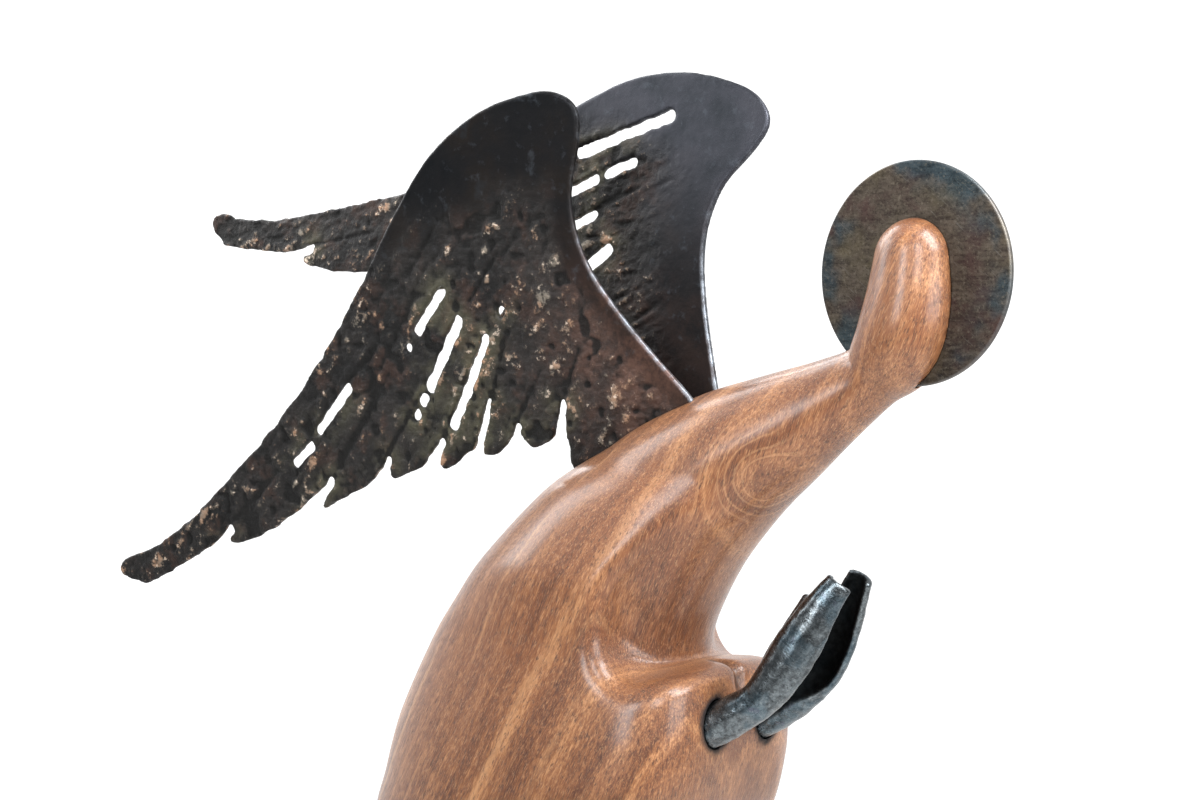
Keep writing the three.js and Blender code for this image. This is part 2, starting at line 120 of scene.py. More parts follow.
# The wing's sweep from its root up the front edge, round the crown and along the back to the tip.
WING_SWEEP = [
    (0, 0), (22, 24), (36.5, 45), (40.7, 65), (36.5, 82), (35.5, 93), (41, 98.5), (52, 100),
    (74, 94.7), (95, 82), (112, 63), (138.8, 27), (171, -8.3), (206.7, -38.3), (229, -54.5),
    (247, -62.8), (257, -65.3), (261, -69.5), (258, -73), (249, -74.7),
]
SWEEP_DIVISIONS = 4
FRONT_EDGE_END = 6
# The lower edge from the tip back to the root, feather by feather.
FEATHER_ENDS = [
    (230.7, -65.9), (216, -58.9),
    (202.8, -50.3), (202.7, -56.7), (188.4, -52.6), (172, -44.8),
    (152, -30.8), (158.1, -42.7), (148.8, -38), (135.8, -32.8),
    (125.2, -22.4), (124.4, -30.6), (112.3, -25.6),
    (100.8, -15.4), (101.6, -26.6), (91, -19.7), (88.6, -18.6),
    (80.2, -0.8), (78.6, -0.8), (84, -21.2), (76.3, -18.9),
    (68.7, -9.8), (63.4, -17.9), (55.6, -14.9),
    (50.1, -1), (48.5, -1),
]
# Grooves between the feathers, in the pattern: from, to, depth.
FEATHER_GROOVES = [
    ((95.2, 58.8), (109.7, 41.3), 0.7),
    ((70.6, 48.7), (84.9, 31.4), 0.9),
    ((69.6, 22.5), (78.1, 0.3), 0.9),
    ((120.9, 7.3), (149.6, -29), 1.1),
    ((124.5, 17.9), (140.8, 3.2), 0.9),
    ((176, -29), (201.8, -49.5), 1.0),
    ((110, -2), (125.1, -21.2), 0.9),
    ((55.8, 10.8), (68.3, -8.4), 0.7),
    ((40.5, 17.4), (49.1, -0.8), 0.7),
    ((84, 9), (100, -14), 0.8),
    ((150, -12), (168, -30), 0.8),
    ((60, 58), (69, 47), 0.6),
    ((108, 33), (130, 2), 0.6),
]
# Slits that part the feather ends: from, to, width.
FEATHER_SLITS = [
    ((49.3, -2), (53.5, -19), 2.6),
    ((68.7, -10.8), (70.5, -21), 3.0),
    ((79.6, -2), (86.5, -24), 2.6),
    ((101, -16.8), (107, -29), 3.4),
    ((125.4, -24), (131.5, -34), 3.0),
    ((152.3, -32.4), (165, -46), 3.2),
    ((203, -52), (212, -61), 3.8),
]
FEATHER_WAY = (0.62, -0.785)
# In the pattern, the last feathers begin, are full, fade and end at these places along the wing, and
# the smooth crown begins and is full at these heights.
LAST_FEATHERS = (165, 200, 235, 258)
CROWN = (70, 92)
# Where the rust near a wing's root is strongest, and how far it reaches.
ROOT_RUST = {"at": (14, 14), "reach": 30}
# Each wing: its side, the front end of its root, how the pattern is turned and sized on it, the length
# of its root, how far the front stays smooth, how much fuller its last feathers are, how rusty its root
# and how much painted sheen lightens its crown, and the slots burned through it, by their ends and width.
WINGS = {
    "right_wing": {
        "side": -1,
        "root": (67.8, -9, 367.2),
        "turn": 0,
        "size": (1, 1),
        "root_length": 52.8,
        "smooth_front": 7,
        "fuller": 0.7,
        "root_rust": 1,
        "bared": 0,
        "seed": 3,
        "slots": [
            ((95.8, 35.5), (107.5, 22.1), 3.6),
            ((89.7, 25.5), (104, 2.7), 4),
            ((78.6, 19.4), (95.2, -10.4), 4),
            ((140.4, 1.9), (155.6, -13.8), 3.5),
            ((160, -19.4), (167.8, -25.8), 3.2),
            ((111.6, 16.6), (111.9, 16.1), 3.2),
            ((106.9, -1.6), (107.4, -2.4), 3.8),
            ((110.6, -6.7), (110.9, -7.2), 3.4),
            ((71.3, 28.8), (71.7, 28.2), 3.2),
        ],
    },
    "left_wing": {
        "side": 1,
        "root": (66.8, 8.3, 365.7),
        "turn": 29,
        "size": (0.985, 0.91),
        "root_length": 36,
        "smooth_front": 22,
        "fuller": 1.3,
        "root_rust": 0.2,
        "bared": 1,
        "seed": 11,
        "slots": [
            ((29.4, 96.7), (67.9, 86.1), 4.4),
            ((44.4, 81.4), (55, 78.1), 3.8),
            ((60.1, 76.2), (74, 71.7), 4.2),
            ((60, 63.6), (70, 59.4), 3.8),
            ((52, 51.6), (60, 45.9), 4.6),
        ],
    },
}
WING_STEP = 0.7
WING_STEP_THROUGH = 0.5
WING_MARGIN = 4
# The most that relief may stand off the plate's middle, and the least that burning leaves of each half.
THICKEST = 3.6
THINNEST = 0.4
# How many rounds soften the wing's outline, and how far it is let out again.
OUTLINE_ROUNDS = 7
OUTLINE_OUT = 0.35
# Lumps along burned edges, given as the waves of carving are.
BURN_WANDER = [(6, 17, 0), (3, 6, 4)]
RAGGED_EDGE = [(0.4, 4.2, 5), (0.25, 2.1, 9)]
RAGGED_SLOT = [(0.4, 3.4, 13), (0.2, 1.7, 2)]

# Hands: stations from the wrist's hidden end to the fingertips, as x, y, z, width and thickness.
HANDS = {
    "right_hand": {
        "side": -1,
        "stations": [
            (72, -15.8, 261.5, 13, 13),
            (79.5, -15, 264.4, 13.4, 13.4),
            (87, -14, 268.4, 13, 13),
            (95.4, -13, 273.9, 12.2, 12.4),
            (102.1, -12, 282, 15, 12.8),
            (108.1, -10.8, 291.6, 15.8, 12.4),
            (114.9, -9, 303, 12.6, 10.2),
            (120.7, -6.8, 311.8, 9.2, 7.2),
        ],
    },
    "left_hand": {
        "side": 1,
        "stations": [
            (72, 15.8, 260.5, 13, 13),
            (79.5, 15, 263.4, 13.4, 13.4),
            (87.2, 14, 267.4, 13, 13),
            (95.7, 13, 272.9, 12.2, 12.4),
            (102.4, 12, 281, 15, 12.8),
            (108, 11.2, 290.9, 15.8, 12.4),
            (114.3, 9.4, 302.8, 12.6, 10.2),
            (119.6, 7.2, 312.2, 9.2, 7.2),
        ],
    },
}
# The palm begins and is full at these stations. It is thinner and narrower by these shares of the hand,
# and hollowed out inside a rim.
PALM = {"stations": (2.7, 4.2), "thinner": 0.5, "narrower": 0.1, "rim": 1.5}
# The thumb lies along the upper edge: station, height up the hand, height off the palm, radius.
THUMB = [(3.0, 3.8, 1.2, 2.3), (4.6, 6.0, 1.4, 2.3), (6.0, 6.5, 1.6, 1.3)]
HAND_STEP = 0.6
HAND_MARGIN = 12
HAMMERED = [(0.16, 3.4, 0), (0.07, 1.5, 0)]
# Divisions of a wrist between stations, how many its hole takes in, how many lay char and painted shade
# round it.
WRIST_DIVISIONS = 6
HOLE_SECTIONS = 16
CHAR_AND_SHADE_SECTIONS = 14
# Char, darkened further by painted shade, is full and has faded out at these distances from the wrist.
CHAR_AND_SHADE_REACH = (0.9, 3.2)
# Corners of a grid are kept this far off the surface.
LEAST_OFF = 0.02


# Curves, blends and random lumps

def curve_through(rows, divisions):
    """A smooth curve through rows of numbers, divided evenly between the rows."""
    rows = np.asarray(rows, float)
    spans = len(rows) - 1
    padded = np.vstack([rows[0], rows, rows[-1]])
    before, here, after, beyond = (padded[i:spans + i, None, :] for i in range(4))
    t = (np.arange(divisions) / divisions)[None, :, None]
    slope = (after - before) / 2
    bend = before - 2.5 * here + 2 * after - 0.5 * beyond
    twist = 1.5 * (here - after) + 0.5 * (beyond - before)
    points = here + t * (slope + t * (bend + t * twist))
    return np.vstack([points.reshape(-1, rows.shape[1]), rows[-1]])


def soft_min(a, b, width):
    share = np.clip(0.5 + 0.5 * (b - a) / width, 0, 1)
    return b * (1 - share) + a * share - width * share * (1 - share)


def soft_max(a, b, width):
    return -soft_min(-a, -b, width)


def smooth_step(value, low, high):
    t = np.clip((value - low) / (high - low), 0, 1)
    return t * t * (3 - 2 * t)


def band(value, low, full, fade, high):
    """1 between full and fade, easing to 0 at low and at high."""
    return smooth_step(value, low, full) * (1 - smooth_step(value, fade, high))


def hump(away, width):
    return np.exp(-(away / width) ** 2)


def lumps(x, y, z, size):
    """Smooth random heights from -1 to 1, about size millimetres from one hill to the next."""
    result = 0
    places = [np.asarray(a, float) / size for a in np.broadcast_arrays(x, y, z)]
    cells = [np.floor(a).astype(int) for a in places]
    shares = [smooth_step(a - c, 0, 1) for a, c in zip(places, cells)]
    count = len(LATTICE)
    for corner in range(8):
        weight = 1
        index = []
        for axis in range(3):
            bit = (corner >> axis) & 1
            weight = weight * (shares[axis] if bit else 1 - shares[axis])
            index.append((cells[axis] + bit) % count)
        result = result + weight * LATTICE[tuple(index)]
    return result


def lumps_together(x, y, z, sets):
    return sum(height * lumps(x, y, z + shift, size) for height, size, shift in sets)


def span_distance(p, a, b):
    """Distance to the straight line from a to b, and how far along it, from 0 to 1."""
    run = b - a
    share = np.clip((p - a) @ run / (run @ run), 0, 1)
    return np.linalg.norm(p - a - share[:, None] * run, axis=1), share


def nearest_of(count, reach):
    """Which of some places is nearest to each point, and how far off it is."""
    best = reach(0)
    nearest = np.zeros(best.shape, int)
    for i in range(1, count):
        away = reach(i)
        closer = away < best
        best[closer] = away[closer]
        nearest[closer] = i
    return nearest, best


# Skins over solids that are given by their distance

def steps(low, high, size):
    return np.linspace(low, high, int(math.ceil((high - low) / size)) + 1)


def untangle(values):
    """Fills one corner of every grid face whose corners alternate, so that no two sheets share an edge.

    A corner that lies almost on the surface is moved off it, so that no points fall together.
    """
    values = np.where(values < 0, np.minimum(values, -LEAST_OFF), np.maximum(values, LEAST_OFF))
    corner_steps = np.array([(0, 0, 0), (1, 0, 0), (1, 1, 0), (0, 1, 0)])
    filled = True
    while filled:
        filled = False
        for first, second in ((0, 1), (1, 2), (2, 0)):
            view = np.moveaxis(values, (first, second), (0, 1))
            inside = view < 0
            alike = (inside[:-1, :-1] == inside[1:, 1:]) & (inside[1:, :-1] == inside[:-1, 1:])
            faces = np.argwhere(alike & (inside[:-1, :-1] != inside[1:, :-1]))
            if not len(faces):
                continue
            corners = faces[:, None, :] + corner_steps
            sizes = view[tuple(corners.reshape(-1, 3).T)].reshape(-1, 4)
            least = np.where(sizes < 0, np.inf, sizes).argmin(1)
            chosen = tuple(np.unique(corners[np.arange(len(faces)), least], axis=0).T)
            view[chosen] = -view[chosen]
            filled = True
    return values


def skin_over(values, xs, ys, zs):
    """One vertex in every grid cell that the surface crosses, one quad across every grid edge it cuts."""
    values = untangle(values)
    axes = [np.asarray(a, float) for a in (xs, ys, zs)]
    shape = values.shape
    strides = (shape[1] * shape[2], shape[2], 1)
    cell_lists = []
    point_lists = []
    quad_lists = []
    for axis in range(3):
        count = shape[axis]
        low = np.take(values, range(count - 1), axis)
        high = np.take(values, range(1, count), axis)
        cut = (low < 0) != (high < 0)
        at = np.argwhere(cut)
        start = low[cut]
        share = start / (start - high[cut])
        points = np.stack([axes[k][at[:, k]] for k in range(3)], 1)
        points[:, axis] += share * (axes[axis][at[:, axis] + 1] - axes[axis][at[:, axis]])
        home = at @ np.array(strides)
        across, up = strides[(axis + 1) % 3], strides[(axis + 2) % 3]
        quad = np.stack([home - across - up, home - up, home, home - across], 1)
        quad[start >= 0] = quad[start >= 0][:, ::-1]
        quad_lists.append(quad)
        cell_lists.append(quad.ravel())
        point_lists.append(np.repeat(points, 4, axis=0))
    cells, index = np.unique(np.concatenate(cell_lists), return_inverse=True)
    points = np.concatenate(point_lists)
    tally = np.bincount(index)
    middles = np.stack([np.bincount(index, points[:, k]) / tally for k in range(3)], 1)
    quads = np.searchsorted(cells, np.concatenate(quad_lists))
    return middles, quads.tolist()


def settle(distance, points, rounds=2):
    """Moves points along the slope until they lie on the surface."""
    reach = 0.05
    for _ in range(rounds):
        slope = np.empty_like(points)
        for axis in range(3):
            shift = np.zeros(3)
            shift[axis] = reach
            slope[:, axis] = (distance(points + shift) - distance(points - shift)) / (2 * reach)
        length = np.maximum((slope ** 2).sum(1), 0.05)
        points = points - slope * (distance(points) / length)[:, None]
    return points


def piece_from(name, points, faces, finish=None):
    """A mesh object in metres from points in millimetres."""
    mesh = bpy.data.meshes.new(name)
    mesh.from_pydata(np.asarray(points) * MM, [], faces)
    mesh.update()
    mesh.shade_smooth()
    piece = bpy.data.objects.new(name, mesh)
    bpy.context.scene.collection.objects.link(piece)
    if finish is not None:
        mesh.materials.append(finish)
    return piece


def stacked_faces(rings, sides):
    """Faces between rings of points laid one after the other, with both ends closed."""
    faces = []
    for i in range(rings - 1):
        for j in range(sides):
            k = (j + 1) % sides
            faces.append((i * sides + j, i * sides + k, (i + 1) * sides + k, (i + 1) * sides + j))
    last = (rings - 1) * sides
    faces.append(tuple(range(sides))[::-1])
    faces.append(tuple(range(last, last + sides)))
    return faces


def points_of(piece):
    flat = np.empty(len(piece.data.vertices) * 3)
    piece.data.vertices.foreach_get("co", flat)
    return flat.reshape(-1, 3) / MM


def note(piece, name, values):
    """Writes one number for each vertex, for the finish to read."""
    attribute = piece.data.attributes.new(name, "FLOAT", "POINT")
    attribute.data.foreach_set("value", np.asarray(values, np.float32))


# The wood

robe_rows = curve_through(ROBE, 8)
spine_rows = curve_through(SPINE, 6)


def robe_distance(x, y, z):
    level = np.clip(z, robe_rows[0, 0], robe_rows[-1, 0])
    columns = (np.interp(level, robe_rows[:, 0], robe_rows[:, i]) for i in range(1, 6))
    middle, back, front, side, squareness = columns
    behind = x < middle
    reach = np.where(behind, back, front)
    power = np.where(behind, BACK_ROUNDNESS, squareness)
    round_ = np.abs((x - middle) / reach) ** power + np.abs(y / side) ** power
    wall = (round_ ** (1 / power) - 1) * np.minimum(reach, side)
    return np.maximum(wall, z - ROBE_TOP)


def taper_distance(x, z, a, b):
    """Distance to the hull of two circles in the middle plane."""
    length = math.hypot(b[0] - a[0], b[1] - a[1])
    along = ((x - a[0]) * (b[0] - a[0]) + (z - a[1]) * (b[1] - a[1])) / length
    off = np.abs((x - a[0]) * (b[1] - a[1]) - (z - a[1]) * (b[0] - a[0])) / length
    sine = (a[2] - b[2]) / length
    cosine = math.sqrt(1 - sine * sine)
    end = cosine * along - sine * off
    first = np.hypot(along, off) - a[2]
    last = np.hypot(along - length, off) - b[2]
    wall = off * cosine + along * sine - a[2]
    return np.where(end < 0, first, np.where(end > cosine * length, last, wall))


def notch_distance(x, y, z):
    fall = SHELF_FALL["drop"] * (y / SHELF_FALL["at_side"]) ** 2
    level = z + fall * (1 - smooth_step(z, SHELF_FALL["low"], SHELF_FALL["high"]))
    skewed = x + NOTCH_SKEW * y
    tapers = [taper_distance(skewed, level, a, b) for a, b in zip(NOTCH, NOTCH[1:])]
    return np.minimum(*tapers)


def spine_distance(x, y, z):
    def ball(i):
        cx, cz, r = spine_rows[i].T
        return np.sqrt((x - cx) ** 2 + y ** 2 + (z - cz) ** 2) - r
    nearest, best = nearest_of(len(spine_rows) - 2, lambda i: ball(i + 1))
    nearest = nearest + 1
    before, after = ball(nearest - 1), ball(nearest + 1)
    bend = before - 2 * best + after
    bend = np.where(np.abs(bend) < 1e-9, 1e9, bend)
    shift = np.clip((before - after) / (2 * bend), -1, 1)
    return best + 0.5 * shift * (after - before) + 0.5 * shift * shift * bend


def base_distance(x, y, z):
    half_length, half_width = BASE["length"] / 2, BASE["width"] / 2
    wall = (np.hypot(x / half_length, y / half_width) - 1) * half_width
    return soft_max(wall, z - BASE["height"], BASE["edge"])


def parting_depth(x, y, z):
    along = band(z, PARTING["low"], PARTING["low"] + 12, PARTING["high"] - 4, PARTING["high"])
    in_front = smooth_step(x, PARTING["front"], PARTING["front"] + 8)
    return PARTING["depth"] * hump(y, PARTING["half_width"]) * along * in_front


def fuller_edge(x, sideways, z):
    low, high = np.array(FULLER_EDGE["low"]), np.array(FULLER_EDGE["high"])
    away = span_distance(np.stack([x, sideways, z], -1), low, high)[0]
    return FULLER_EDGE["more"] * hump(away, FULLER_EDGE["width"])


def wood_distance(p):
    x, y, z = np.asarray(p, float).T
    sideways = np.abs(y)
    edge = NOTCH_EDGE[0] + NOTCH_EDGE[1] * sideways
    sleeves = soft_max(robe_distance(x, y, z), -notch_distance(x, y, z), edge)
    sleeves = sleeves + parting_depth(x, y, z)
    result = sleeves
    upper = z > SPINE_START
    if upper.any():
        spine = spine_distance(x[upper], y[upper], z[upper])
        crease = CREASE[0] + CREASE[1] * sideways[upper] ** 2
        result[upper] = soft_min(sleeves[upper], spine, crease) - fuller_edge(x, sideways, z)[upper]
    lower = ~upper
    if lower.any():
        low = (x[lower], y[lower], z[lower])
        result[lower] = soft_min(result[lower], base_distance(*low), BASE["fillet"])
    hand_carved = lumps_together(x, y, z, HAND_CARVED)
    return np.maximum(result + hand_carved * smooth_step(z, 1, 12), -z)


def distance_in_slabs(distance, xs, ys, zs):
    values = np.empty((len(xs), len(ys), len(zs)))
    for k, z in enumerate(zs):
        level = np.stack(np.meshgrid(xs, ys, [z], indexing="ij"), -1).reshape(-1, 3)
        values[:, :, k] = distance(level).reshape(len(xs), len(ys))
    return values


def carve_figure():
    fine, plain = WOOD_STEP["fine"], WOOD_STEP["plain"]
    margin = 2 * fine
    head = SPINE[-1]
    xs = steps(-BASE["length"] / 2 - margin, head[0] + HEAD_ROOM + margin, fine)
    ys = steps(-BASE["width"] / 2 - margin, BASE["width"] / 2 + margin, fine)
    zs = np.concatenate([
        steps(-margin, WOOD_STEP["base_top"], fine)[:-1],
        steps(WOOD_STEP["base_top"], WOOD_STEP["change"], plain)[:-1],
        steps(WOOD_STEP["change"], head[1] + head[2] + margin, fine),
    ])
    points, quads = skin_over(distance_in_slabs(wood_distance, xs, ys, zs), xs, ys, zs)
    return settle(wood_distance, points), quads


# Wings

def wing_axes(wing):
    lean, spread = math.radians(WING_LEAN), math.radians(WING_SPREAD)
    backwards = Vector((-math.cos(spread), wing["side"] * math.sin(spread), 0))
    upwards = Vector((0, wing["side"] * math.sin(lean), math.cos(lean)))
    upwards = (upwards - backwards * upwards.dot(backwards)).normalized()
    return np.array([backwards, upwards, backwards.cross(upwards)])


def place_on_wing(wing, points):
    return np.asarray(points) @ wing_axes(wing) + np.array(wing["root"])


def fit_pattern(wing, points):
    turn = math.radians(wing["turn"])
    points = np.asarray(points, float) * np.array(wing["size"])
    return points @ np.array([[math.cos(turn), math.sin(turn)], [-math.sin(turn), math.cos(turn)]])


def root_corner(run, depth):
    along = np.array(ROOT_SLOPE) / math.hypot(*ROOT_SLOPE)
    inwards = np.array([along[1], -along[0]])
    return along * run + inwards * depth


def line_distance(u, v, a, b):
    """Distance to the straight line from a to b, and how far along it, from 0 to 1."""
    run = np.subtract(b, a)
    share = np.clip(((u - a[0]) * run[0] + (v - a[1]) * run[1]) / max(run @ run, 1e-9), 0, 1)
    return np.hypot(u - a[0] - share * run[0], v - a[1] - share * run[1]), share


def outline_distance(u, v, corners):
    """Distance to a closed outline, negative inside it."""
    nearest = np.full(u.shape, np.inf)
    inside = np.zeros(u.shape, bool)
    for a, b in zip(corners, np.roll(corners, -1, axis=0)):
        nearest = np.minimum(nearest, line_distance(u, v, a, b)[0])
        crosses = (a[1] > v) != (b[1] > v)
        if a[1] != b[1]:
            inside ^= crosses & (u < (b[0] - a[0]) * (v - a[1]) / (b[1] - a[1]) + a[0])
    return np.where(inside, -nearest, nearest)


def blur(grid, rounds):
    """Softens a grid of numbers, which rounds the corners of what it outlines."""
    for _ in range(rounds):
        padded = np.pad(grid, 1, mode="edge")
        grid = (padded[:-2, 1:-1] + 2 * padded[1:-1, 1:-1] + padded[2:, 1:-1]) / 4
        padded = np.pad(grid, 1, mode="edge")
        grid = (padded[1:-1, :-2] + 2 * padded[1:-1, 1:-1] + padded[1:-1, 2:]) / 4
    return grid


def read_off(grid, us, vs, points):
    """The grid's values at points on the plate, blended between its four nearest places."""
    across = np.clip((points[:, 0] - us[0]) / (us[1] - us[0]), 0, len(us) - 1.001)
    up = np.clip((points[:, 1] - vs[0]) / (vs[1] - vs[0]), 0, len(vs) - 1.001)
    i, j = across.astype(int), up.astype(int)
    s, t = across - i, up - j
    low = grid[i, j] * (1 - s) + grid[i + 1, j] * s
    high = grid[i, j + 1] * (1 - s) + grid[i + 1, j + 1] * s
    return low * (1 - t) + high * t


def nearest_line(u, v, lines):
    """Distance to the nearest of some rounded slots, given by start, end and width."""
    nearest = np.full(u.shape, np.inf)
    for start, end, width in lines:
        nearest = np.minimum(nearest, line_distance(u, v, start, end)[0] - width / 2)
    return nearest


def forge_wing(name, wing, finish):
    sweep = fit_pattern(wing, curve_through(WING_SWEEP, SWEEP_DIVISIONS))
    ends = fit_pattern(wing, FEATHER_ENDS)
    heel = root_corner(wing["root_length"], 0)
    strip = [root_corner(wing["root_length"], ROOT_DEPTH), root_corner(0, ROOT_DEPTH)]
    corners = np.vstack([sweep, ends, heel, strip])
    low, high = corners.min(0) - WING_MARGIN, corners.max(0) + WING_MARGIN
    us, vs = (steps(low[k], high[k], WING_STEP) for k in range(2))
    u, v = np.meshgrid(us, vs, indexing="ij")
    seed = wing["seed"] * 37.7

    # Places on the plate: along the front edge, in the wood, among the feathers.
    front = sweep[:FRONT_EDGE_END * SWEEP_DIVISIONS]
    from_front = nearest_line(u, v, [(a, b, 0) for a, b in zip(front, front[1:])])
    turn = math.radians(-wing["turn"])
    pattern_v = (u * math.sin(turn) + v * math.cos(turn)) / wing["size"][1]
    pattern_u = (u * math.cos(turn) - v * math.sin(turn)) / wing["size"][0]
    reach = wing["smooth_front"]
    wander = lumps_together(u, v, seed, BURN_WANDER)
    rough = smooth_step(from_front + 0.5 * wander, 0.4 * reach, 1.7 * reach)
    rough = rough * (1 - smooth_step(pattern_v + wander + 0.25 * pattern_u, *CROWN))

    # Outline: torch-cut and lumpy along the feathers, clean along the front edge and crown.
    edge = blur(outline_distance(u, v, corners), OUTLINE_ROUNDS) - OUTLINE_OUT
    edge = edge - wing["fuller"] * band(pattern_u, *LAST_FEATHERS)
    ragged = lumps_together(u, v, seed, RAGGED_EDGE)
    edge = edge + ragged * smooth_step(from_front, 2, 10) * (0.3 + 0.7 * rough)
    slits = [(*fit_pattern(wing, [start, end]), width) for start, end, width in FEATHER_SLITS]
    from_slot = np.minimum(nearest_line(u, v, wing["slots"]), nearest_line(u, v, slits))
    from_slot = from_slot + lumps_together(u, v, seed, RAGGED_SLOT)
    edge = soft_max(edge, -from_slot, 0.8)

    # Relief: grooves between feathers, melted lumps, beads of slag round the slots.
    groove = np.zeros(u.shape)
    for start, end, depth in FEATHER_GROOVES:
        start, end = fit_pattern(wing, [start, end])
        off, share = line_distance(u, v, start, end)
        off = off + 0.5 * lumps(u, v, seed + 21, 5)
        taper = band(share, -0.05, 0.2, 0.9, 1.02)
        groove = np.maximum(groove, depth * hump(off, 0.95) * (0.35 + 0.65 * taper))
    way = fit_pattern(wing, [FEATHER_WAY])[0]
    way = way / math.hypot(*way)
    stretch = 2.6
    along = (u * way[0] + v * way[1]) / stretch
    across = u * way[1] - v * way[0]

    # Each number before lumps is a height, and the last one in its brackets a size.
    def relief(side):
        shift = seed + 50 * side
        melted = 0.7 * np.abs(lumps(along, across, shift, 3.1))
        melted = melted + 0.6 * np.abs(lumps(u, v, shift + 3, 2.6))
        melted = melted + 0.6 * np.abs(lumps(u, v, shift + 7, 1.5)) - 0.6
        waves = 0.3 * lumps(along, across, shift + 11, 6.5)
        pits = -0.8 * smooth_step(lumps(u, v, shift + 29, 4.3), 0.45, 0.75)
        slag = 0.5 * hump(from_slot - 1.3, 0.9) * (0.3 + lumps(u, v, shift + 17, 2.2))
        plain = 0.05 * lumps(u, v, shift + 23, 11)
        burned = melted + waves + pits + slag
        return plain + rough * burned - groove * (0.25 + 0.75 * rough)

    near, far = relief(0), relief(1)
    ws = steps(-THICKEST, THICKEST, WING_STEP_THROUGH)
    w = ws[None, None, :]
    from_wood = smooth_step(v * ROOT_RISE[1] + u * ROOT_RISE[0], -7, 2)
    halves = [np.maximum(PLATE / 2 + side * from_wood, THINNEST)[:, :, None] for side in (near, far)]
    faces = np.maximum(-w - halves[0], w - halves[1])
    values = soft_max(edge[:, :, None], faces, 0.8)
    points, quads = skin_over(values, us, vs, ws)

    piece = piece_from(name, place_on_wing(wing, points), quads, finish)

    def here(grid):
        return read_off(grid, us, vs, points)

    at_edge = smooth_step(here(edge), -1.1, -0.1)
    along_front = 1 - smooth_step(here(from_front), 0.5, 1.3)
    below_crown = 1 - smooth_step(here(pattern_v), 18, 60)
    from_root = np.hypot(points[:, 0] - ROOT_RUST["at"][0], points[:, 1] - ROOT_RUST["at"][1])
    note(piece, "height", np.where(points[:, 2] < 0, here(near), here(far)))
    note(piece, "rough", here(rough))
    note(piece, "filed", at_edge * along_front * below_crown)
    note(piece, "edge", at_edge)
    note(piece, "root_rust", hump(from_root, ROOT_RUST["reach"]) * wing["root_rust"])
    # How much painted sheen lightens the smooth crown.
    note(piece, "bared", smooth_step(here(pattern_v), 20, 85) * wing["bared"])
    note(piece, "slag", hump(here(from_slot), 5))
    return piece


def wing_slot(wing):
    """A cutter for the sawn slot that a wing's root stands in."""
    spare = GAP
    outside = 2 * ROOT_DEPTH
    flat = [
        root_corner(-spare, ROOT_DEPTH + spare),
        root_corner(wing["root_length"] + spare, ROOT_DEPTH + spare),
        root_corner(wing["root_length"] + spare, -outside),
        root_corner(-spare, -outside),
    ]
    half = PLATE / 2 + spare
    points = [(a, b, w) for w in (-half, half) for a, b in flat]
    faces = [(3, 2, 1, 0), (4, 5, 6, 7), (0, 1, 5, 4), (1, 2, 6, 5), (2, 3, 7, 6), (3, 0, 4, 7)]
    return piece_from("slot_cutter", place_on_wing(wing, points), faces)


# Halo

def halo_disc(name, radius, thickness, edge, dents, finish=None):
    """A round plate on its own axis, turned into place in the head."""
    around = 160
    half = thickness / 2
    inner = list(np.linspace(0.6, radius - 2 * edge, 26))
    profile = [(r, half) for r in inner]
    corner = np.linspace(0, math.pi / 2, 5)
    profile += [(radius - edge + edge * math.sin(t), half - edge + edge * math.cos(t)) for t in corner]
    profile += [(r, -w) for r, w in reversed(profile)]
    profile = np.array(profile)
    angle = 2 * math.pi * np.arange(around) / around
    r, w = profile[:, 0][:, None], profile[:, 1][:, None]
    a, c = r * np.cos(angle), r * np.sin(angle)
    bends = lumps(a, c, 3.3, 19) + 0.35 * lumps(a, c, 8.1, 7)
    w = w + dents * (bends + 0.12 * np.sign(w) * lumps(a, c, 1.7, 3))
    turn = math.radians(HALO["turn"])
    x = HALO["x"] + a * math.cos(turn) - w * math.sin(turn)
    y = a * math.sin(turn) + w * math.cos(turn)
    points = np.stack([x, y, HALO["z"] + c], -1).reshape(-1, 3)
    return piece_from(name, points, stacked_faces(len(profile), around), finish)


# Hands

def hand_rows(hand, divisions):
    """Middle, half width, half thickness and axes along a hand."""
    rows = curve_through(hand["stations"], divisions)
    forward = np.gradient(rows[:, :3], axis=0)
    forward /= np.linalg.norm(forward, axis=1)[:, None]
    across = np.array([0, 1, 0]) - forward * forward[:, 1:2]
    across /= np.linalg.norm(across, axis=1)[:, None]
    return rows[:, :3], rows[:, 3] / 2, rows[:, 4] / 2, forward, across, np.cross(forward, across)


